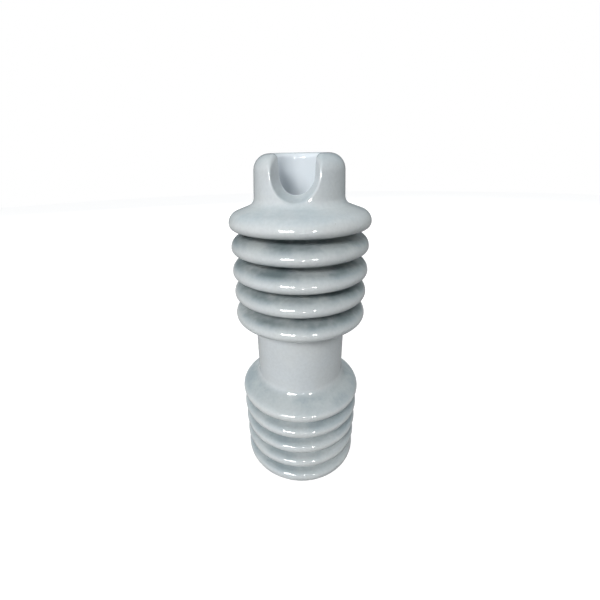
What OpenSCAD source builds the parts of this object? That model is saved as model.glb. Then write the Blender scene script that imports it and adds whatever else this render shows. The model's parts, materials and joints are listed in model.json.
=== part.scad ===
// Porcelain post insulator with a notched cup head, five weather sheds, a smooth
// clamping waist and five close ribs. A threaded metal insert is cemented into each end.
// Units are millimetres. The axis is Z, the foot stands on Z = 0 and the notch faces -Y.

/* [Overall] */
// Height from the foot to the rim of the cup
body_h = 307; // [302:1:310]
// Diameter over the sheds
shed_d = 120; // [118:1:126]

/* [Upper sheds] */
// Number of sheds above the waist
shed_count = 5; // [4:1:5]
// Height of the top shed's widest circle
top_shed_z = 253.2; // [252:0.2:254]
// Distance from one shed to the next
shed_pitch = 20.6; // [20:0.2:21]
// Diameter at the bottom of the grooves between sheds
shed_root_d = 89; // [86:1:92]
// Fall of a shed's upper face, in degrees
shed_slope = 20; // [18:1:24]
// Radius under a shed's lip
lip_low_r = 5.2; // [4.5:0.1:5.5]
// Radius over a shed's lip
lip_top_r = 9.5; // [8:0.5:10]

/* [Lower ribs] */
// Number of ribs below the waist
rib_count = 5; // [4:1:5]
// Diameter over the ribs
rib_d = 118.4; // [116:0.2:120]
// Height of the lowest rib's widest circle
low_rib_z = 8.6; // [8:0.1:10]
// Distance from one rib to the next
rib_pitch = 19.5; // [19:0.1:20]
// Diameter at the bottom of the grooves between ribs
rib_root_d = 96; // [92:1:100]
// Radius of a rib's lip
rib_lip_r = 6; // [5:0.5:6]

/* [Waist] */
// Diameter of the smooth waist that a mounting band grips
waist_d = 84.6; // [82:0.2:86]
// Radius where the waist meets the rib below it
waist_fillet_r = 10; // [6:1:12]
// Fall of the face that joins the waist to the first rib, in degrees
shoulder_slope = 33; // [28:1:36]

/* [Cup head] */
// Outside diameter of the cup near its rim
cup_rim_d = 72; // [71.6:0.2:74]
// Outside diameter of the cup at its base
cup_base_d = 76; // [74:0.2:80]
// Radius of the rim's outer edge
rim_outer_r = 12; // [9:0.5:12]
// Radius of the rim's inner edge
rim_inner_r = 4; // [2:0.5:4]
// Diameter of the cup's cavity
cup_bore_d = 40; // [38:1:40]
// Depth of the cavity in the bare porcelain
cup_bore_h = 77; // [74:1:80]

/* [Notch] */
// Width of the notch at the outside of the cup
notch_outer_w = 38; // [34:1:40]
// Width of the notch at the cavity
notch_inner_w = 29.4; // [28:0.2:32]
// Height of the centre of the notch's round bottom
notch_centre_z = 290; // [289:1:292]

/* [Foot] */
// Diameter of the unglazed foot ring
foot_d = 108; // [104:1:110]
// Diameter of the socket in the foot
foot_bore_d = 48; // [46:1:50]
// Depth of the socket in the foot
foot_bore_h = 56; // [56:1:60]

/* [Inserts] */
// Barrel diameter of the cup's insert
cup_insert_d = 27; // [26:1:28]
// Height of the cup's insert
cup_insert_h = 37; // [36:1:38]
// Thread's minor diameter in the cup's insert, for M12
cup_thread_d = 10.2; // [10:0.1:10.4]
// Barrel diameter of the foot's insert
foot_insert_d = 34; // [32:1:36]
// Height of the foot's insert
foot_insert_h = 52; // [50:1:52]
// Thread's minor diameter in the foot's insert, for M16
foot_thread_d = 14; // [13.8:0.1:14.2]
// Depth of the grip grooves round an insert
grip_depth = 1.5; // [1:0.1:2]
// Thickness of the cork cushion behind an insert
cushion_t = 3; // [2:0.5:3]
// Thickness of the sealing compound over the cement
seal_t = 2; // [1.5:0.5:2.5]

/* [Hidden] */
$fn = 128;
arc_steps = 7;            // straight runs in each rounded corner
root_r = 1.5;             // radius at the bottom of a shed groove
rib_root_r = 2.4;         // radius at the bottom of a rib groove
under_slope = 4;          // rise of a shed's underside towards the core, degrees
rib_under_slope = 10;     // rise of a rib's underside towards the core, degrees
rib_top_slope = 12;       // fall of a rib's upper face, degrees
cup_fillet_r = 4;         // radius where the cup meets the top shed
waist_top_fillet_r = 5;   // radius where the waist meets the lowest shed
bore_corner_r = 3;        // radius round the floor of each cavity
foot_edge_r = 1;          // radius of the foot ring's outer edge
lip_share = 0.98;         // share of the lower radius used, so the two arcs of a lip never meet
gap = 0.4;                // free play round each cork cushion
insert_proud = 2;         // height of the cup's insert above the seal
foot_recess = 1;          // depth of the foot's insert above the foot plane
flange_h = 4;             // height of an insert's anchoring flange
flange_step = 3;          // width of the flange beyond the barrel, on the radius
grip_h = 4;               // height of one grip groove
grip_pitch = 8;           // distance from one grip groove to the next
thread_margin = 6;        // solid end left beyond a blind thread
drill_angle = 59;         // half angle of the drill point's end
cut = 1;                  // how far a cutter runs past the face that it opens

shed_r = shed_d / 2;
rib_r = rib_d / 2;
waist_r = waist_d / 2;
cup_floor_z = body_h - cup_bore_h;
cup_insert_z = cup_floor_z + cushion_t;
cup_insert_top = cup_insert_z + cup_insert_h;
cup_cement_top = cup_insert_top - insert_proud - seal_t;
foot_insert_top = foot_recess + foot_insert_h;
foot_cement_low = foot_recess + insert_proud + seal_t;
shed_zs = [for (i = [shed_count - 1 : -1 : 0]) top_shed_z - i * shed_pitch];
rib_zs = [for (i = [0 : rib_count - 1]) low_rib_z + i * rib_pitch];

// Corner points are [radius, height, fillet radius].
function unit(v) = v / norm(v);
function xy(p) = [p[0], p[1]];

// Points of the arc that rounds corner b between a and c, or the corner itself.
function round_corner(a, b, c) =
    let (u = unit(xy(a) - xy(b)), w = unit(xy(c) - xy(b)), half = acos(u * w) / 2)
    b[2] == 0 || half > 89 ? [xy(b)] :
    let (centre = xy(b) + unit(u + w) * b[2] / sin(half),
         first = xy(b) + u * b[2] / tan(half) - centre,
         last = xy(b) + w * b[2] / tan(half) - centre,
         start = atan2(first[1], first[0]),
         turn = atan2(first[0] * last[1] - first[1] * last[0], first * last))
    [for (i = [0 : arc_steps])
        centre + b[2] * [cos(start + turn * i / arc_steps), sin(start + turn * i / arc_steps)]];

function rounded(points) =
    let (n = len(points))
    [for (i = [0 : n - 1])
        for (p = round_corner(points[(i + n - 1) % n], points[i], points[(i + 1) % n])) p];

// Distance from a lip's widest circle to the sharp corner that its radius r rounds.
function lip_reach(r, slope) = r * tan((90 - slope) / 2);

// Corners of one shed or rib, from the groove under it to the groove over it.
function fin(z, r, root_low, root_top, low_r, top_r, under, slope, low_fillet, top_fillet) =
    let (rise = lip_reach(top_r, slope), fall = lip_reach(low_r, -under))
    [[root_low, z - fall + (r - root_low) * tan(under), low_fillet],
     [r, z - fall, low_r * lip_share],
     [r, z + rise, top_r],
     [root_top, z + rise + (r - root_top) * tan(slope), top_fillet]];

function rib_corners() =
    [for (i = [0 : rib_count - 1])
        for (p = fin(rib_zs[i], rib_r,
                     i == 0 ? foot_d / 2 : rib_root_d / 2,
                     i == rib_count - 1 ? waist_r : rib_root_d / 2,
                     rib_lip_r, rib_lip_r, i == 0 ? 0 : rib_under_slope,
                     i == rib_count - 1 ? shoulder_slope : rib_top_slope,
                     i == 0 ? 0 : rib_root_r,
                     i == rib_count - 1 ? waist_fillet_r : rib_root_r)) p];

function shed_corners() =
    [for (i = [0 : shed_count - 1])
        for (p = fin(shed_zs[i], shed_r,
                     i == 0 ? waist_r : shed_root_d / 2,
                     i == shed_count - 1 ? cup_base_d / 2 : shed_root_d / 2,
                     lip_low_r, lip_top_r, under_slope, shed_slope,
                     i == 0 ? waist_top_fillet_r : root_r,
                     i == shed_count - 1 ? cup_fillet_r : root_r)) p];

body_corners = concat(
    [[foot_bore_d / 2, 0, 0], [foot_d / 2, 0, foot_edge_r]],
    rib_corners(),
    shed_corners(),
    [[cup_rim_d / 2, body_h, rim_outer_r],
     [cup_bore_d / 2, body_h, rim_inner_r],
     [cup_bore_d / 2, cup_floor_z, bore_corner_r],
     [0, cup_floor_z, 0],
     [0, foot_bore_h, 0],
     [foot_bore_d / 2, foot_bore_h, bore_corner_r]]);

// U-shaped notch through the cup's wall, wider outside than inside.
module notch() {
    outer_y = cup_base_d / 2 + cut;
    inner_y = 0;
    taper = (notch_outer_w - notch_inner_w) / 2 / (cup_rim_d / 2 - cup_bore_d / 2);
    outer_half = notch_outer_w / 2 + taper * (outer_y - cup_rim_d / 2);
    inner_half = notch_inner_w / 2 + taper * (inner_y - cup_bore_d / 2);
    translate([0, 0, notch_centre_z]) {
        rotate([90, 0, 0])
            cylinder(h = outer_y - inner_y, r1 = inner_half, r2 = outer_half);
        linear_extrude(body_h - notch_centre_z + cut)
            polygon([[-inner_half, -inner_y], [inner_half, -inner_y],
                     [outer_half, -outer_y], [-outer_half, -outer_y]]);
    }
}

module porcelain_body() {
    color("lightsteelblue")
    difference() {
        rotate_extrude() polygon(rounded(body_corners));
        notch();
    }
}

// Outside of a ribbed insert, standing on its anchoring flange at Z = 0.
module insert_blank(d, h) {
    r = d / 2;
    grooves = floor((h - flange_h - grip_h) / grip_pitch);
    rotate_extrude()
    polygon(concat(
        [[0, 0], [r + flange_step, 0], [r + flange_step, flange_h], [r, flange_h + flange_step]],
        [for (i = [0 : grooves - 1])
            let (z = flange_h + flange_step + 2 + i * grip_pitch)
            for (p = [[r, z], [r - grip_depth, z + 1],
                      [r - grip_depth, z + grip_h - 1], [r, z + grip_h]])
                if (z + grip_h < h - 2) p],
        [[r, h], [0, h]]));
}

module threaded_insert(d, h, thread_d) {
    difference() {
        insert_blank(d, h);
        translate([0, 0, thread_margin])
            cylinder(h = h - thread_margin + cut, d = thread_d);
        translate([0, 0, thread_margin - thread_d / 2 / tan(drill_angle)])
            cylinder(h = thread_d / 2 / tan(drill_angle), d1 = 0, d2 = thread_d);
    }
}

// Places what was modelled standing on its flange into the foot, mouth down.
module in_foot() {
    translate([0, 0, foot_insert_top]) mirror([0, 0, 1]) children();
}

module cup_insert() {
    color("silver")
    translate([0, 0, cup_insert_z])
        threaded_insert(cup_insert_d, cup_insert_h, cup_thread_d);
}

module cup_cement() {
    color("darkgray")
    difference() {
        translate([0, 0, cup_insert_z])
            cylinder(h = cup_cement_top - cup_insert_z, d = cup_bore_d);
        translate([0, 0, cup_insert_z]) insert_blank(cup_insert_d, cup_insert_h);
    }
}

module cup_cushion() {
    color("peru")
    translate([0, 0, cup_floor_z])
        cylinder(h = cushion_t, d = cup_bore_d - 2 * bore_corner_r - gap);
}

module cup_seal() {
    color("dimgray")
    seal_ring(cup_insert_d, cup_bore_d, cup_cement_top);
}

// Ring of sealing compound, dished between the insert and the porcelain.
module seal_ring(inner_d, outer_d, z) {
    dish_r = (outer_d - inner_d) / 2;
    translate([0, 0, z])
    difference() {
        cylinder(h = seal_t, d = outer_d);
        translate([0, 0, -cut]) cylinder(h = seal_t + 2 * cut, d = inner_d);
        rotate_extrude()
            translate([(outer_d + inner_d) / 4, seal_t + dish_r * 0.85]) circle(r = dish_r);
    }
}

module foot_insert() {
    color("silver")
    in_foot() threaded_insert(foot_insert_d, foot_insert_h, foot_thread_d);
}

module foot_cement() {
    color("darkgray")
    difference() {
        translate([0, 0, foot_cement_low])
            cylinder(h = foot_insert_top - foot_cement_low, d = foot_bore_d);
        in_foot() insert_blank(foot_insert_d, foot_insert_h);
    }
}

module foot_cushion() {
    color("peru")
    translate([0, 0, foot_bore_h - cushion_t])
        cylinder(h = cushion_t, d = foot_bore_d - 2 * bore_corner_r - gap);
}

module foot_seal() {
    color("dimgray")
    translate([0, 0, foot_cement_low]) mirror([0, 0, 1])
        seal_ring(foot_insert_d, foot_bore_d, 0);
}

porcelain_body();
cup_insert();
cup_cement();
cup_cushion();
cup_seal();
foot_insert();
foot_cement();
foot_cushion();
foot_seal();
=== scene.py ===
"""A porcelain insulator: a glazed body with a notched cup, sheds, waist and ribs, and a threaded
iron insert cemented into each end. Metres, +Z up, standing on its foot, notch towards -Y."""

import json
import math

import bmesh
import bpy
import numpy as np
from mathutils import Matrix, Vector


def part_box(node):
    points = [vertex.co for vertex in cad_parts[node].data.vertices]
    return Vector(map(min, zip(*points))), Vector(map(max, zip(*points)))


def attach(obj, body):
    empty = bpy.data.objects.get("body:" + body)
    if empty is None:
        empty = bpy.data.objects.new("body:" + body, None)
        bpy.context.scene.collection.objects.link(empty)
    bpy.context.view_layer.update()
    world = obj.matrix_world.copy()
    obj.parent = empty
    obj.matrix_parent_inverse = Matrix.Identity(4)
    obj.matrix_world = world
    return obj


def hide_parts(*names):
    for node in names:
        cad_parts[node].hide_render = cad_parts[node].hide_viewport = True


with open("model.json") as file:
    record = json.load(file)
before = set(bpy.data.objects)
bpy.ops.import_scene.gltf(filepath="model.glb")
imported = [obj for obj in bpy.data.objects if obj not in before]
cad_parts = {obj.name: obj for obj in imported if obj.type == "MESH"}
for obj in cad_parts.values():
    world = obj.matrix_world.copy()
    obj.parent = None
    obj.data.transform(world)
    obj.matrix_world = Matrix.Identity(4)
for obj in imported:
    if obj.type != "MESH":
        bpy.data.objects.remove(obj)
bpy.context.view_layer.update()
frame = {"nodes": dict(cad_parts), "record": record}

# --- Camera -----------------------------------------------------------------------------------
# A camera a forearm away, level with the cup, that looks down at the waist. It stands a few
# degrees to the right of the notch, leans a little, and has its lens shifted to one side.
CAMERA_REACH = 0.2652
CAMERA_HEIGHT = 0.2940
CAMERA_SIDE = math.radians(5.6)
CAMERA_PAN = math.radians(2.91)
CAMERA_DIP = math.radians(23.51)
CAMERA_LEAN = math.radians(-1.43)
LENS_MM = 18.15
FRAME_SHIFT = 0.024
SENSOR_MM = 36.0
NEAREST = 0.01

camera = bpy.data.objects.new("camera", bpy.data.cameras.new("camera"))
bpy.context.collection.objects.link(camera)
camera.data.sensor_width = SENSOR_MM
camera.data.lens = LENS_MM
camera.data.shift_x = FRAME_SHIFT
camera.data.clip_start = NEAREST
camera.location = (
    CAMERA_REACH * math.sin(CAMERA_SIDE),
    -CAMERA_REACH * math.cos(CAMERA_SIDE),
    CAMERA_HEIGHT,
)
aim = (
    Matrix.Rotation(CAMERA_SIDE + CAMERA_PAN, 4, "Z")
    @ Matrix.Rotation(math.pi / 2 - CAMERA_DIP, 4, "X")
    @ Matrix.Rotation(CAMERA_LEAN, 4, "Z")
)
camera.rotation_euler = aim.to_euler()
bpy.context.scene.camera = camera

# --- Porcelain body ---------------------------------------------------------------------------
# One piece of clay, turned on a lathe: foot, five ribs, waist, five sheds and the cup. The notch
# is cut through the cup's wall while the clay is leather-hard, and its edges are sponged round.
# Glaze covers everything but the foot ring that the piece is fired on.
BODY_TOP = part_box("porcelain_body")[1].z
LATHE_STEPS = 224
STRAIGHT_ROW = 0.0023
ARC_STEP = 0.0015
MERGE = 1e-6

FOOT_R = 0.054
SOCKET_R = 0.024
SOCKET_DEPTH = 0.056
WAIST_R = 0.0423
SHED_ROOT_R = 0.0445
RIB_ROOT_R = 0.048
CUP_FOOT_R = 0.038
CUP_RIM_R = 0.036
CAVITY_R = 0.020
CAVITY_FLOOR = 0.230

RIB_Z = [0.0086 + 0.0195 * i for i in range(5)]
SHED_Z = [0.2532 - 0.0206 * (4 - i) for i in range(5)]
RIB_R = (0.0585, 0.0586, 0.0589, 0.0592, 0.0595)
SHED_R = (0.0600, 0.0597, 0.0600, 0.0595, 0.0600)
SHED_SLIP = (0.0, 0.0008, -0.0001, 0.0004, 0.0)
RIB_LIP_R = 0.006
SHED_LIP_R = 0.0095
SHED_UNDER_R = 0.0052
SHED_SLOPE = math.radians(20)
SHOULDER_SLOPE = math.radians(33)
RIB_SLOPE = math.radians(12)
RIB_UNDER_SLOPE = math.radians(10)
SHED_UNDER_SLOPE = math.radians(4)
LIP_SHARE = 0.98
FOOT_EDGE_R = 0.001
SOCKET_EDGE_R = 0.0006
FLOOR_CORNER_R = 0.003
FOOT_FILLET = 0.0012
RIB_FILLET = 0.0024
SHOULDER_FILLET = 0.010
WAIST_FILLET = 0.005
SHED_FILLET = 0.0015


def fin(z, r, low_root, top_root, low_r, top_r, under, slope, low_fillet, top_fillet):
    """Corners (radius, height, rounding) of one shed or rib, from the groove under it upwards."""
    crest = z + top_r * math.tan((math.pi / 2 - slope) / 2)
    under_lip = z - low_r * math.tan((math.pi / 2 + under) / 2)
    return [
        (low_root, under_lip + (r - low_root) * math.tan(under), low_fillet),
        (r, under_lip, low_r * LIP_SHARE),
        (r, crest, top_r),
        (top_root, crest + (r - top_root) * math.tan(slope), top_fillet),
    ]


outline = [(SOCKET_R, 0.0, SOCKET_EDGE_R), (FOOT_R, 0.0, FOOT_EDGE_R)]
for i, (z, r) in enumerate(zip(RIB_Z, RIB_R)):
    first, last = i == 0, i == len(RIB_Z) - 1
    outline += fin(
        z, r,
        FOOT_R if first else RIB_ROOT_R,
        WAIST_R if last else RIB_ROOT_R,
        RIB_LIP_R, RIB_LIP_R,
        0.0 if first else RIB_UNDER_SLOPE,
        SHOULDER_SLOPE if last else RIB_SLOPE,
        FOOT_FILLET if first else RIB_FILLET,
        SHOULDER_FILLET if last else RIB_FILLET,
    )
for i, (z, r) in enumerate(zip(SHED_Z, SHED_R)):
    first, last = i == 0, i == len(SHED_Z) - 1
    outline += fin(
        z + SHED_SLIP[i], r,
        WAIST_R if first else SHED_ROOT_R,
        CUP_FOOT_R if last else SHED_ROOT_R,
        SHED_UNDER_R, SHED_LIP_R,
        SHED_UNDER_SLOPE, SHED_SLOPE,
        WAIST_FILLET if first else SHED_FILLET,
        SHED_FILLET,
    )
cup_corner = outline.pop()
SLOPE_START_R = 0.0515
slope_start_z = cup_corner[1] + (CUP_FOOT_R - SLOPE_START_R) * math.tan(SHED_SLOPE)
cup_foot_z = cup_corner[1]
socket = [(0.0, SOCKET_DEPTH, 0.0), (SOCKET_R, SOCKET_DEPTH, FLOOR_CORNER_R)]
lower_outline = socket + outline

# The cup is turned with the rest, as rows from the top shed, over the rim and down inside. Its
# rows are then pushed to where the notched cup has its surface, and its edges come out round.
NOTCH_Z = 0.290
NOTCH_OUTER_HALF = 0.0190
NOTCH_INNER_HALF = 0.0147
NOTCH_TAPER = (NOTCH_OUTER_HALF - NOTCH_INNER_HALF) / (CUP_RIM_R - CAVITY_R)
NOTCH_OUTER_SIDE = 0.0177
NOTCH_INNER_SIDE = 0.0133
NOTCH_EDGE_R = 0.0016
RIM_OUTER_R = 0.012
RIM_INNER_R = 0.004
CUP_FOOT_FILLET = 0.004
RIM_FALL = 0.0040
SIDE_FALL = 0.0010
EAR_EDGE_R = 0.0045
INSIDE_END_Z = 0.256
NOTCH_BACK_Y = -0.004
EAR_CORNER_OUT = 0.006
EAR_CORNER_IN = 0.004
SLOPE_OVERRUN = 0.003
ROW_ARCH = 0.05
LEAST_SLOPE = 0.05
SMOOTHINGS = 4

SLOPE_ROWS = 22
WALL_ROWS = 14
EDGE_ROWS = 9
RIM_ROWS = 6
LIP_ROWS = 7
INSIDE_ROWS = 12
CUP_ROWS = SLOPE_ROWS + WALL_ROWS + EDGE_ROWS + RIM_ROWS + LIP_ROWS + INSIDE_ROWS

# Shares of half the rim's columns: round the notch's bottom, up its side, over its corner.
BOTTOM_SHARE = 0.205
SIDE_SHARE = 0.275
CORNER_SHARE = 0.34
BACK_SHARE = 0.10


def wire(bm, corners):
    """An outline in the XZ plane through corners (radius, height, rounding), each rounded."""
    verts = [bm.verts.new((r, 0.0, z)) for r, z, _ in corners]
    for a, b in zip(verts, verts[1:]):
        bm.edges.new((a, b))
    for v, (_, _, rounding) in zip(verts, corners):
        if rounding and len(v.link_edges) == 2:
            u, w = [(e.other_vert(v).co - v.co).normalized() for e in v.link_edges]
            turn = math.pi - u.angle(w)
            bmesh.ops.bevel(
                bm, geom=[v], affect="VERTICES", offset_type="OFFSET",
                offset=rounding * math.tan(turn / 2),
                segments=max(3, round(turn * rounding / ARC_STEP)), profile=0.5, material=-1,
            )


def lathe(bm, steps):
    """Turns an outline once round the Z axis and merges its ends."""
    bmesh.ops.spin(
        bm, geom=bm.verts[:] + bm.edges[:], cent=(0, 0, 0), axis=(0, 0, 1), dvec=(0, 0, 0),
        angle=2 * math.pi, steps=steps, use_merge=True, use_normal_flip=False,
        use_duplicate=False,
    )
    bmesh.ops.remove_doubles(bm, verts=bm.verts, dist=MERGE)


def piece_from(bm, name):
    """Puts a finished mesh in the scene as an object."""
    mesh = bpy.data.meshes.new(name)
    bm.to_mesh(mesh)
    bm.free()
    piece = bpy.data.objects.new(name, mesh)
    bpy.context.collection.objects.link(piece)
    return piece


bm = bmesh.new()
row_layer = bm.verts.layers.int.new("cup_row")
wire(bm, lower_outline + [(SLOPE_START_R, slope_start_z, 0.0)])
wire(bm, [
    (CAVITY_R, INSIDE_END_Z, 0.0),
    (CAVITY_R, CAVITY_FLOOR, FLOOR_CORNER_R),
    (0.0, CAVITY_FLOOR, 0.0),
])
for e in [e for e in bm.edges if e.calc_length() > 1.5 * STRAIGHT_ROW]:
    bmesh.ops.subdivide_edges(bm, edges=[e], cuts=round(e.calc_length() / STRAIGHT_ROW) - 1)
bm.verts.ensure_lookup_table()
start = min(bm.verts, key=lambda v: (v.co - Vector((SLOPE_START_R, 0, slope_start_z))).length)
stop = min(bm.verts, key=lambda v: (v.co - Vector((CAVITY_R, 0, INSIDE_END_Z))).length)
previous = start
for row in range(1, CUP_ROWS):
    share = row / CUP_ROWS
    arch = Vector((0, 0, ROW_ARCH * math.sin(math.pi * share)))
    v = bm.verts.new(start.co.lerp(stop.co, share) + arch)
    v[row_layer] = row
    bm.edges.new((previous, v))
    previous = v
bm.edges.new((previous, stop))
lathe(bm, LATHE_STEPS)


def blend(a, b, t):
    return a + (b - a) * t


def rounded_cut(a, b, r):
    """Distance to what two shapes share, with their common edge rounded by r."""
    return np.minimum(np.maximum(a, b), -r) + np.hypot(np.maximum(a + r, 0), np.maximum(b + r, 0))


def rounded_join(a, b, r):
    """Distance to two shapes together, with the corner between them filled by radius r."""
    return -rounded_cut(-a, -b, r)


def cup_field(p):
    """Distance of points from the notched cup's surface, less than 0 inside the porcelain."""
    x, y, z = p.T
    reach = np.hypot(x, y)
    lean = (CUP_FOOT_R - CUP_RIM_R) / (BODY_TOP - cup_foot_z)
    wall = reach - CUP_FOOT_R + (z - cup_foot_z) * lean
    slope = (z - cup_foot_z + (reach - CUP_FOOT_R) * math.tan(SHED_SLOPE)) * math.cos(SHED_SLOPE)
    outside = rounded_join(wall, slope, CUP_FOOT_FILLET)
    fall = RIM_FALL * (0.5 - y / (2 * CUP_RIM_R)) + SIDE_FALL * x / (2 * CUP_RIM_R)
    top = z - BODY_TOP + fall
    shell = rounded_cut(rounded_cut(outside, top, RIM_OUTER_R), CAVITY_R - reach, RIM_INNER_R)
    half = NOTCH_INNER_HALF + (-y - CAVITY_R) * NOTCH_TAPER
    notch = half - np.hypot(x, np.minimum(z - NOTCH_Z, 0))
    notch = np.where(y > NOTCH_BACK_Y, -1.0, notch)
    high = np.clip((z - NOTCH_Z) / (BODY_TOP - RIM_FALL - NOTCH_Z), 0, 1)
    edge_r = blend(NOTCH_EDGE_R, EAR_EDGE_R, high * high * (3 - 2 * high))
    return rounded_cut(shell, notch, edge_r)


def onto_cup(p, steps=6):
    """Moves points to the nearest place on the cup's surface."""
    h = 1e-5
    for _ in range(steps):
        f = cup_field(p)
        grad = np.stack([
            (cup_field(p + h * axis) - cup_field(p - h * axis)) / (2 * h) for axis in np.eye(3)
        ], axis=1)
        p = p - grad * (f / np.maximum((grad ** 2).sum(1), LEAST_SLOPE))[:, None]
    return p


def settle(verts):
    """Puts vertices onto the cup's surface."""
    points = onto_cup(np.array([v.co for v in verts]))
    for v, p in zip(verts, points):
        v.co = p


def on_wall(turn, z, r):
    """A point on a round wall, turned from the notch by an angle."""
    return np.stack([r * np.sin(turn), -r * np.cos(turn), z + 0 * turn], axis=-1)


def rim_line(t, half, depth, wall_r, corner):
    """Turn and height of the line where wall and rim meet, and which way leads into the wall."""
    bottom = np.clip(t / BOTTOM_SHARE, 0, 1) * math.pi / 2
    side = np.clip((t - BOTTOM_SHARE) / (SIDE_SHARE - BOTTOM_SHARE), 0, 1)
    over = np.clip((t - SIDE_SHARE) / (CORNER_SHARE - SIDE_SHARE), 0, 1) * math.pi / 2
    along = np.clip((t - CORNER_SHARE) / (1 - CORNER_SHARE), 0, 1)
    x = half * np.sin(bottom) + corner * (1 - np.cos(over))
    rise = BODY_TOP - RIM_FALL - corner - NOTCH_Z
    z = NOTCH_Z - depth * np.cos(bottom) + side * rise + corner * np.sin(over)
    turn = blend(np.arcsin(x / wall_r), math.pi, along)
    away = np.where(t <= SIDE_SHARE, np.sin(bottom), np.cos(over))
    down = np.where(t <= SIDE_SHARE, np.cos(bottom), np.sin(over))
    return turn, z, away, down


def wall_r_at(z):
    return blend(CUP_FOOT_R, CUP_RIM_R, (z - cup_foot_z) / (BODY_TOP - cup_foot_z))


def cup_rows(t):
    """First places for one column of the cup's rows: t runs from the notch (0) to the back (1)."""
    back = np.clip((t - CORNER_SHARE) / BACK_SHARE, 0, 1)
    outer_set = blend(NOTCH_EDGE_R, RIM_OUTER_R, back)
    inner_set = blend(NOTCH_EDGE_R, RIM_INNER_R, back)
    turn_o, z_o, away, down = rim_line(
        t, NOTCH_OUTER_SIDE, NOTCH_OUTER_HALF, CUP_RIM_R, EAR_CORNER_OUT
    )
    turn_i, z_i, away_i, down_i = rim_line(
        t, NOTCH_INNER_SIDE, NOTCH_INNER_HALF, CAVITY_R, EAR_CORNER_IN
    )
    edge_o = on_wall(turn_o, z_o, wall_r_at(z_o))
    edge_i = on_wall(turn_i, z_i, CAVITY_R)
    low_turn, low_z = turn_o + outer_set * away / CUP_RIM_R, z_o - outer_set * down
    across = edge_i - edge_o
    across = across / np.linalg.norm(across)
    places = []
    slope_run = math.hypot(SLOPE_START_R - CUP_FOOT_R, cup_foot_z - slope_start_z)
    whole = slope_run + low_z - cup_foot_z
    first = min(slope_run + SLOPE_OVERRUN, 0.8 * whole)
    for i in range(SLOPE_ROWS + WALL_ROWS):
        if i < SLOPE_ROWS:
            run = first * i / SLOPE_ROWS
        else:
            run = blend(first, whole, (i - SLOPE_ROWS) / WALL_ROWS)
        turn = blend(t * math.pi, low_turn, run / whole)
        if run < slope_run:
            r = blend(SLOPE_START_R, CUP_FOOT_R, run / slope_run)
            z = blend(slope_start_z, cup_foot_z, run / slope_run)
        else:
            z = cup_foot_z + run - slope_run
            r = wall_r_at(z)
        places.append(on_wall(turn, z, r))
    low = on_wall(low_turn, low_z, wall_r_at(low_z))
    brow = edge_o + across * outer_set
    lip = edge_i - across * inner_set
    inner_turn, inner_z = turn_i + inner_set * away_i / CAVITY_R, z_i - inner_set * down_i
    inner = on_wall(inner_turn, inner_z, CAVITY_R)
    for i in range(EDGE_ROWS):
        f = i / EDGE_ROWS
        places.append(blend(blend(low, edge_o, f), blend(edge_o, brow, f), f))
    for i in range(RIM_ROWS):
        places.append(blend(brow, lip, i / RIM_ROWS))
    for i in range(LIP_ROWS):
        f = i / LIP_ROWS
        places.append(blend(blend(lip, edge_i, f), blend(edge_i, inner, f), f))
    for i in range(INSIDE_ROWS):
        f = i / INSIDE_ROWS
        turn = blend(inner_turn, t * math.pi, f)
        places.append(on_wall(turn, blend(inner_z, INSIDE_END_Z, f), CAVITY_R))
    return places


cup_verts = [v for v in bm.verts if v[row_layer] > 0]
columns = {}
for v in cup_verts:
    turn = math.atan2(v.co.x, -v.co.y)
    key = round(abs(turn) / math.pi * LATHE_STEPS / 2)
    if key not in columns:
        columns[key] = cup_rows(np.float64(2 * key / LATHE_STEPS))
    place = columns[key][v[row_layer]]
    v.co = (math.copysign(place[0], turn), place[1], place[2])
for _ in range(SMOOTHINGS):
    settle(cup_verts)
    bmesh.ops.smooth_vert(
        bm, verts=cup_verts, factor=0.5, use_axis_x=True, use_axis_y=True, use_axis_z=True
    )
settle(cup_verts)
bmesh.ops.recalc_face_normals(bm, faces=bm.faces)
for f in bm.faces:
    f.smooth = True
porcelain = piece_from(bm, "porcelain")
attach(porcelain, "root")
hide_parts("porcelain_body")


def finish(name):
    """A new material: its shader, its node tree and the place of each point on the object."""
    material = bpy.data.materials.new(name)
    material.use_nodes = True
    tree = material.node_tree
    place = tree.nodes.new("ShaderNodeTexCoord").outputs["Object"]
    return material, tree.nodes["Principled BSDF"], tree, place


def add(tree, kind, inputs=(), **settings):
    """Adds a node with its settings, and its inputs by name or number: values or links."""
    node = tree.nodes.new(kind)
    for key, value in settings.items():
        setattr(node, key, value)
    for key, value in dict(inputs).items():
        if isinstance(value, bpy.types.NodeSocket):
            tree.links.new(value, node.inputs[key])
        else:
            node.inputs[key].default_value = value
    return node


def noise(tree, place, scale, detail=2.0, roughness=0.5):
    inputs = {"Vector": place, "Scale": scale, "Detail": detail, "Roughness": roughness}
    return add(tree, "ShaderNodeTexNoise", inputs).outputs["Fac"]


def ramp(tree, value, low, high, to_low=0.0, to_high=1.0):
    """Maps low..high of a value to to_low..to_high, softly at both ends, and clamps it."""
    inputs = {0: value, 1: low, 2: high, 3: to_low, 4: to_high}
    return add(tree, "ShaderNodeMapRange", inputs, interpolation_type="SMOOTHSTEP").outputs[0]


def tint(tree, share, a, b, blend_type="MIX"):
    """Mixes two colours."""
    inputs = {0: share, 6: a, 7: b}
    return add(tree, "ShaderNodeMix", inputs, data_type="RGBA", blend_type=blend_type).outputs[2]


def calc(tree, operation, a, b=0.0):
    return add(tree, "ShaderNodeMath", {0: a, 1: b}, operation=operation).outputs[0]


def bump(tree, height, distance, strength, normal=None):
    inputs = {"Height": height, "Distance": distance, "Strength": strength}
    if normal is not None:
        inputs["Normal"] = normal
    return add(tree, "ShaderNodeBump", inputs).outputs["Normal"]


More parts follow.
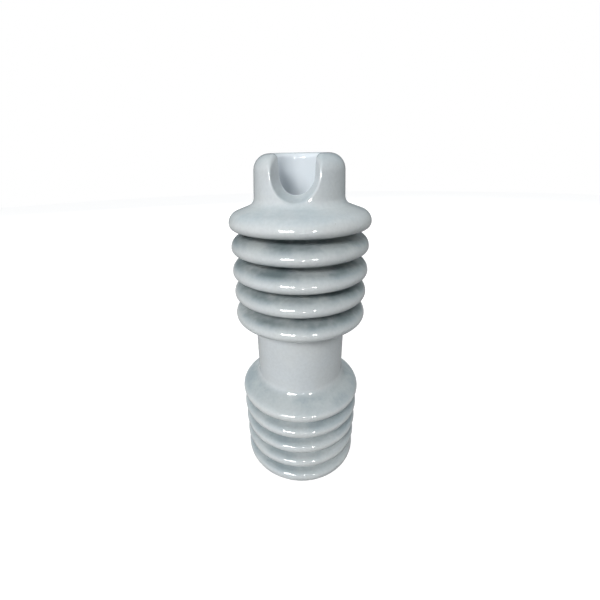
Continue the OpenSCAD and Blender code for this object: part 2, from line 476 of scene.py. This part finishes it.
# Patches of a second colour over a first, as weather, casting and mixing leave them. Each
# material below has its own colours, scale and share of patches.
mottle = bpy.data.node_groups.new("mottle", "ShaderNodeTree")
for name, kind in (
    ("Place", "NodeSocketVector"), ("Colour", "NodeSocketColor"), ("Patch", "NodeSocketColor"),
    ("Scale", "NodeSocketFloat"), ("Share", "NodeSocketFloat"),
):
    mottle.interface.new_socket(name, in_out="INPUT", socket_type=kind)
mottle.interface.new_socket("Colour", in_out="OUTPUT", socket_type="NodeSocketColor")
mottle.interface.new_socket("Mask", in_out="OUTPUT", socket_type="NodeSocketFloat")
given = add(mottle, "NodeGroupInput").outputs
mask = ramp(mottle, noise(mottle, given["Place"], given["Scale"], 4.0, 0.6), 0.36, 0.66)
mask = calc(mottle, "MULTIPLY", mask, given["Share"])
patched = tint(mottle, mask, given["Colour"], given["Patch"])
add(mottle, "NodeGroupOutput", {"Colour": patched, "Mask": mask})


def mottled(tree, place, colour, patch, scale, share):
    """The patched colour and the mask of its patches."""
    inputs = {"Place": place, "Colour": colour, "Patch": patch, "Scale": scale, "Share": share}
    return add(tree, "ShaderNodeGroup", inputs, node_tree=mottle).outputs


# The glaze is paler where it runs thin over the lips. Up-facing faces are darker: pooled glaze and
# painted shade. Two more tones stand in for light: DEEP, a painted shadow for part of the grooves'
# shade, and INSIDE, painted light where light gathers in the cup. In other light they may look
# strong.
GLAZE = (0.525, 0.56, 0.58, 1)
GLAZE_THIN = (0.545, 0.57, 0.575, 1)
GLAZE_WARM = (0.53, 0.55, 0.545, 1)
GLAZE_POOLED_AND_SHADED = (0.37, 0.43, 0.455, 1)
GLAZE_DEEP = (0.140, 0.178, 0.187, 1)
GLAZE_INSIDE = (0.63, 0.675, 0.71, 1)
SPECK = (0.22, 0.19, 0.15, 1)
BISQUE = (0.62, 0.57, 0.49, 1)
BISQUE_ROUGH = (0.85, 0.85, 0.85, 1)
CLOUD_SCALE = 22.0
CLOUD_SHARE = 0.55
GRAIN_SCALE = 420.0
SPECK_SCALE = 130.0
WAVE_SCALE, WAVE_H = 55.0, 0.00035
PEEL_SCALE, PEEL_H = 380.0, 0.00002

glaze, shader, tree, place = finish("glazed_porcelain")
split = add(tree, "ShaderNodeSeparateXYZ", {0: place})
flat = add(tree, "ShaderNodeCombineXYZ", {0: split.outputs[0], 1: split.outputs[1]}).outputs[0]
reach = add(tree, "ShaderNodeVectorMath", {0: flat}, operation="LENGTH").outputs["Value"]
height = split.outputs[2]
lips = ramp(tree, reach, 0.0555, 0.0600, 0.0, 0.75)
colour = tint(tree, lips, GLAZE, GLAZE_THIN)
facing = tree.nodes["Texture Coordinate"].outputs["Normal"]
upward = add(tree, "ShaderNodeSeparateXYZ", {0: facing}).outputs[2]
# Up-facing faces are darker: partly glaze pooled on ledges, partly painted shade on the tops.
colour = tint(tree, ramp(tree, upward, 0.15, 0.85, 0.0, 0.9), colour, GLAZE_POOLED_AND_SHADED)
groove = ramp(tree, reach, 0.0546, 0.0611, 0.97, 0.0)
groove = calc(tree, "MULTIPLY", groove, ramp(tree, height, 0.2515, 0.2535, 1.0, 0.0))
between = ramp(tree, height, 0.1655, 0.1685)
on_ledge = ramp(tree, upward, 0.2, 0.8, 0.0, 0.4)
groove = calc(tree, "MULTIPLY", groove, calc(tree, "MAXIMUM", between, on_ledge))
colour = tint(tree, groove, colour, GLAZE_DEEP)
colour = mottled(tree, place, colour, GLAZE_WARM, CLOUD_SCALE, CLOUD_SHARE)["Colour"]
grains = ramp(tree, noise(tree, place, GRAIN_SCALE, 2.0), 0.3, 0.7, 0.965, 1.02)
colour = tint(tree, 1.0, colour, grains, "MULTIPLY")
cells = add(tree, "ShaderNodeTexVoronoi", {"Vector": place, "Scale": SPECK_SCALE})
near = ramp(tree, cells.outputs["Distance"], 0.02, 0.06, 1.0, 0.0)
few = add(tree, "ShaderNodeSeparateColor", {0: cells.outputs["Color"]}).outputs[0]
specks = calc(tree, "MULTIPLY", near, ramp(tree, few, 0.86, 0.90, 0.0, 0.8))
colour = tint(tree, specks, colour, SPECK)
inside = ramp(tree, reach, 0.0205, 0.0235, 1.0, 0.0)
colour = tint(tree, inside, colour, GLAZE_INSIDE)
ragged = calc(tree, "ADD", height, ramp(tree, noise(tree, place, 160.0), 0.3, 0.7, -0.0006, 0.0006))
bare = ramp(tree, ragged, 0.0019, 0.0024, 1.0, 0.0)
colour = tint(tree, bare, colour, BISQUE)
tree.links.new(colour, shader.inputs["Base Color"])
satin = ramp(tree, noise(tree, place, 35.0, 3.0), 0.35, 0.7, 0.035, 0.075)
tree.links.new(tint(tree, bare, satin, BISQUE_ROUGH), shader.inputs["Roughness"])
waves = bump(tree, noise(tree, place, WAVE_SCALE, 1.0), WAVE_H, 0.6)
peel = bump(tree, noise(tree, place, PEEL_SCALE, 1.5), PEEL_H, 0.5, waves)
tree.links.new(peel, shader.inputs["Normal"])
porcelain.data.materials.append(glaze)

# --- Threaded inserts -------------------------------------------------------------------------
# Malleable iron barrels, one in the cup and one in the foot, hot-dip galvanised and then tapped.
# A flange and rings round the barrel grip the cement that holds each one in its socket.
FLANGE_STEP = 0.003
FLANGE_H = 0.004
GRIP_DEPTH = 0.0015
GRIP_H = 0.004
GRIP_PITCH = 0.008
GRIP_START = 0.009
BARREL_EDGE = 0.0006
THREAD_MARGIN = 0.006
DRILL_ANGLE = math.radians(59)
MOUTH_CHAMFER = 0.0012
INSERT_STEPS = 96
ROWS_PER_PITCH = 8
RUN_OUT = 0.003
INNER_CORNER_R = 0.0003
FLANGE_CORNER_R = 0.0004
GROOVE_SLANT = 0.001
MOUTH_LAND = 0.002
M12_PITCH, M12_DEPTH = 0.00175, 0.0009
M16_PITCH, M16_DEPTH = 0.002, 0.001
ZINC = (0.56, 0.57, 0.58, 1)
ZINC_DULL = (0.36, 0.37, 0.38, 1)
DULL_SCALE, DULL_SHARE = 130.0, 0.7
SPANGLE_SCALE = 260.0
CAST_SCALE, CAST_H = 900.0, 0.00012

mounts = {mount["name"]: mount for mount in frame["record"]["mounts"]}


def thread_form(turns):
    """Depth of a thread, 0 at its crest and 1 at its root, over a number of turns."""
    away = np.abs((turns % 1.0) - 0.5) * 2
    return np.clip((away - 0.12) / 0.76, 0, 1)


def insert(node, mount, pitch, depth, mouth_up):
    """A ribbed barrel with a chamfered, threaded blind hole, placed where its CAD node is."""
    lo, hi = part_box(node)
    height = hi.z - lo.z
    flange_r = (hi.x - lo.x) / 2
    barrel_r = flange_r - FLANGE_STEP
    bore_r = mounts[mount]["dims"]["r_mm"] / 1000
    corners = [
        (0.0, THREAD_MARGIN - bore_r / math.tan(DRILL_ANGLE), 0.0),
        (bore_r, THREAD_MARGIN, 0.0),
        (bore_r, height - MOUTH_CHAMFER, 0.0),
        (bore_r + MOUTH_CHAMFER, height, INNER_CORNER_R),
        (barrel_r, height, BARREL_EDGE),
    ]
    grooves = int((height - FLANGE_H - GRIP_H) / GRIP_PITCH)
    for i in reversed(range(grooves)):
        z = GRIP_START + i * GRIP_PITCH
        if z + GRIP_H < height - MOUTH_LAND:
            corners += [
                (barrel_r, z + GRIP_H, INNER_CORNER_R),
                (barrel_r - GRIP_DEPTH, z + GRIP_H - GROOVE_SLANT, INNER_CORNER_R),
                (barrel_r - GRIP_DEPTH, z + GROOVE_SLANT, INNER_CORNER_R),
                (barrel_r, z, INNER_CORNER_R),
            ]
    corners += [
        (barrel_r, FLANGE_H + FLANGE_STEP, BARREL_EDGE),
        (flange_r, FLANGE_H, FLANGE_CORNER_R),
        (flange_r, 0.0, FLANGE_CORNER_R),
        (0.0, 0.0, 0.0),
    ]
    bm = bmesh.new()
    wire(bm, corners)
    for e in [e for e in bm.edges if all(abs(v.co.x - bore_r) < MERGE for v in e.verts)]:
        cuts = round(e.calc_length() / pitch * ROWS_PER_PITCH) - 1
        bmesh.ops.subdivide_edges(bm, edges=[e], cuts=cuts)
    lathe(bm, INSERT_STEPS)
    top = height - MOUTH_CHAMFER
    for v in bm.verts:
        v.co.z = lo.z + v.co.z if mouth_up else hi.z - v.co.z
    for v in bm.verts:
        from_base = v.co.z - lo.z if mouth_up else hi.z - v.co.z
        on_bore = abs(math.hypot(v.co.x, v.co.y) - bore_r) < 10 * MERGE
        if on_bore and THREAD_MARGIN < from_base < top + MERGE:
            turns = v.co.z / pitch - math.atan2(v.co.y, v.co.x) / (2 * math.pi)
            fade = min(1.0, (from_base - THREAD_MARGIN) / RUN_OUT)
            grow = 1 + depth * fade * float(thread_form(turns)) / bore_r
            v.co.x *= grow
            v.co.y *= grow
    bmesh.ops.recalc_face_normals(bm, faces=bm.faces)
    piece = piece_from(bm, node + "_iron")
    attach(piece, "root")
    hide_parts(node)
    return piece


cup_iron = insert("cup_insert", "cup_thread", M12_PITCH, M12_DEPTH, mouth_up=True)
foot_iron = insert("foot_insert", "foot_thread", M16_PITCH, M16_DEPTH, mouth_up=False)

zinc, shader, tree, place = finish("galvanised_iron")
patches = mottled(tree, place, ZINC, ZINC_DULL, DULL_SCALE, DULL_SHARE)
cells = add(tree, "ShaderNodeTexVoronoi", {"Vector": place, "Scale": SPANGLE_SCALE})
spangle = add(tree, "ShaderNodeSeparateColor", {0: cells.outputs["Color"]}).outputs[0]
shimmer = ramp(tree, spangle, 0.0, 1.0, 0.88, 1.06)
colour = tint(tree, 1.0, patches["Colour"], shimmer, "MULTIPLY")
tree.links.new(colour, shader.inputs["Base Color"])
shader.inputs["Metallic"].default_value = 0.85
tree.links.new(ramp(tree, patches["Mask"], 0.0, 0.7, 0.38, 0.62), shader.inputs["Roughness"])
cast = bump(tree, noise(tree, place, CAST_SCALE, 3.0), CAST_H, 0.5)
tree.links.new(cast, shader.inputs["Normal"])
cup_iron.data.materials.append(zinc)
foot_iron.data.materials.append(zinc)

# --- Cement -----------------------------------------------------------------------------------
# Neat Portland cement, poured round each insert while it is held true in a jig, and left to set.
# It is matt and grey, paler where lime has come to the surface, with pores where air was caught.
CEMENT = (0.40, 0.39, 0.37, 1)
LIME = (0.53, 0.52, 0.49, 1)
LIME_SCALE, LIME_SHARE = 90.0, 0.7
PORE_SCALE, PORE_H = 420.0, 0.0003
SAND_SCALE, SAND_H = 700.0, 0.00025


def dress(material, *names):
    """Gives CAD nodes, whose shape stays as it is, their material."""
    for name in names:
        frame["nodes"][name].data.materials.clear()
        frame["nodes"][name].data.materials.append(material)


cement, shader, tree, place = finish("cement")
lime = mottled(tree, place, CEMENT, LIME, LIME_SCALE, LIME_SHARE)
tree.links.new(lime["Colour"], shader.inputs["Base Color"])
tree.links.new(ramp(tree, lime["Mask"], 0.0, 0.7, 0.95, 0.82), shader.inputs["Roughness"])
pores = add(tree, "ShaderNodeTexVoronoi", {"Vector": place, "Scale": PORE_SCALE}).outputs["Distance"]
rough = bump(tree, noise(tree, place, SAND_SCALE, 4.0), SAND_H, 0.7)
rough = bump(tree, ramp(tree, pores, 0.05, 0.2), PORE_H, 0.6, rough)
tree.links.new(rough, shader.inputs["Normal"])
dress(cement, "cup_cement", "foot_cement")

# --- Cork cushions ----------------------------------------------------------------------------
# A disc of pressed cork, cut with a punch and laid behind each insert before the cement goes in.
# It gives when iron and porcelain grow by different amounts in the sun.
CORK_DARK = (0.30, 0.18, 0.09, 1)
CORK_PALE = (0.56, 0.38, 0.21, 1)
BARK = (0.20, 0.12, 0.07, 1)
BARK_SCALE, BARK_SHARE = 240.0, 0.5
CORK_GRAIN_SCALE, CORK_GRAIN_H = 480.0, 0.0003

cork, shader, tree, place = finish("cork")
cells = add(tree, "ShaderNodeTexVoronoi", {"Vector": place, "Scale": CORK_GRAIN_SCALE})
grain_tone = add(tree, "ShaderNodeSeparateColor", {0: cells.outputs["Color"]}).outputs[0]
colour = tint(tree, grain_tone, CORK_DARK, CORK_PALE)
worn = mottled(tree, place, colour, BARK, BARK_SCALE, BARK_SHARE)
tree.links.new(worn["Colour"], shader.inputs["Base Color"])
tree.links.new(ramp(tree, worn["Mask"], 0.0, 0.5, 0.80, 0.92), shader.inputs["Roughness"])
grains = bump(tree, cells.outputs["Distance"], CORK_GRAIN_H, 0.6)
tree.links.new(grains, shader.inputs["Normal"])
dress(cork, "cup_cushion", "foot_cushion")

# --- Sealing rings ----------------------------------------------------------------------------
# A grey compound run over the cement with a nozzle, which keeps rain out of it. It sets with a
# dished, satin face, and dust and lint stay on it.
COMPOUND = (0.36, 0.37, 0.38, 1)
DUST = (0.50, 0.49, 0.46, 1)
DUST_SCALE, DUST_SHARE = 170.0, 0.6
RIPPLE_SCALE, RIPPLE_H = 260.0, 0.0003

compound, shader, tree, place = finish("sealing_compound")
dust = mottled(tree, place, COMPOUND, DUST, DUST_SCALE, DUST_SHARE)
tree.links.new(dust["Colour"], shader.inputs["Base Color"])
tree.links.new(ramp(tree, dust["Mask"], 0.0, 0.6, 0.38, 0.70), shader.inputs["Roughness"])
ripples = bump(tree, noise(tree, place, RIPPLE_SCALE, 3.0), RIPPLE_H, 0.5)
tree.links.new(ripples, shader.inputs["Normal"])
dress(compound, "cup_seal", "foot_seal")

# --- Studio -----------------------------------------------------------------------------------
# A white page under and behind the piece, lamps in front, above, beside and behind it, and a room
# that the glaze mirrors. The page shines only towards the camera, so it doesn't light the sheds
# from below.
FLOOR_R = 4.0
PAPER = (0.27, 0.27, 0.27, 1)
PAPER_SHINE = 0.86
WHITE = (1, 1, 1, 1)
AIM_Z = 0.2

bm = bmesh.new()
bmesh.ops.create_circle(bm, cap_ends=True, segments=96, radius=FLOOR_R)
floor = piece_from(bm, "floor")
paper, shader, tree, place = finish("paper")
shader.inputs["Base Color"].default_value = PAPER
shader.inputs["Roughness"].default_value = 0.8
shader.inputs["Emission Color"].default_value = WHITE
eye = add(tree, "ShaderNodeLightPath").outputs["Is Camera Ray"]
tree.links.new(calc(tree, "MULTIPLY", eye, PAPER_SHINE), shader.inputs["Emission Strength"])
floor.data.materials.append(paper)


def lamp(name, spot, size, brightness, glint):
    """A flat lamp, at a spot turned with the camera. A glint is seen only mirrored in the glaze."""
    data = bpy.data.lights.new(name, "AREA")
    data.shape = "RECTANGLE"
    data.size, data.size_y = size
    data.energy = brightness * math.pi * size[0] * size[1]
    light = bpy.data.objects.new(name, data)
    bpy.context.collection.objects.link(light)
    light.location = Matrix.Rotation(CAMERA_SIDE, 4, "Z") @ Vector(spot)
    way = Vector((0, 0, AIM_Z)) - light.location
    light.rotation_euler = way.to_track_quat("-Z", "Y").to_euler()
    light.visible_diffuse = not glint
    light.visible_glossy = glint


lamp("window", (-1.316, -3.69, 1.0), (1.5, 0.75), 48.0, glint=True)
lamp("near_lamp", (0.078, -0.714, 0.218), (0.036, 0.030), 80.0, glint=True)
lamp("far_lamp", (1.176, -2.728, 0.614), (0.26, 0.20), 150.0, glint=True)
lamp("key", (-0.92, -1.98, 1.60), (1.0, 0.8), 24.5, glint=False)
lamp("ceiling", (0.0, -0.2, 2.3), (1.0, 1.0), 3.2, glint=False)
lamp("back", (-0.7, 2.3, 1.1), (1.4, 1.0), 13.0, glint=False)
lamp("side", (2.3, 1.1, 1.2), (1.0, 1.0), 8.0, glint=False)

# The room's tone behind the piece, on the camera's side, to the right and overhead: first as
# light, then as the glaze mirrors it.
ROOM_REAR, ROOM_FRONT = (0.12, 0.14, 0.15, 1), (0.30, 0.31, 0.32, 1)
ROOM_SIDE, ROOM_ABOVE = (0.08, 0.10, 0.095, 1), (0.24, 0.26, 0.28, 1)
SHINE_REAR, SHINE_FRONT = (0.15, 0.17, 0.18, 1), (0.9, 0.93, 0.96, 1)
SHINE_SIDE, SHINE_ABOVE = (0.25, 0.28, 0.27, 1), (0.5, 0.54, 0.58, 1)

world = bpy.data.worlds.new("studio")
bpy.context.scene.world = world
world.use_nodes = True
tree = world.node_tree
way = add(tree, "ShaderNodeTexCoord").outputs["Generated"]
turned = add(
    tree, "ShaderNodeVectorRotate", {"Vector": way, "Angle": -CAMERA_SIDE}, rotation_type="Z_AXIS"
)
split = add(tree, "ShaderNodeSeparateXYZ", {0: turned.outputs[0]})
front = ramp(tree, split.outputs[1], -0.8, 0.9, 1.0, 0.0)
room = tint(tree, front, ROOM_REAR, ROOM_FRONT)
side = ramp(tree, split.outputs[0], 0.35, 0.95, 0.0, 1.0)
room = tint(tree, side, room, ROOM_SIDE)
above = ramp(tree, split.outputs[2], 0.15, 0.9, 0.0, 0.8)
room = tint(tree, above, room, ROOM_ABOVE)
rays = add(tree, "ShaderNodeLightPath").outputs
shine = tint(tree, front, SHINE_REAR, SHINE_FRONT)
shine = tint(tree, side, shine, SHINE_SIDE)
shine = tint(tree, above, shine, SHINE_ABOVE)
room = tint(tree, rays["Is Glossy Ray"], room, shine)
room = tint(tree, rays["Is Camera Ray"], room, WHITE)
tree.links.new(room, tree.nodes["Background"].inputs["Color"])
bpy.context.scene.view_settings.view_transform = "Standard"
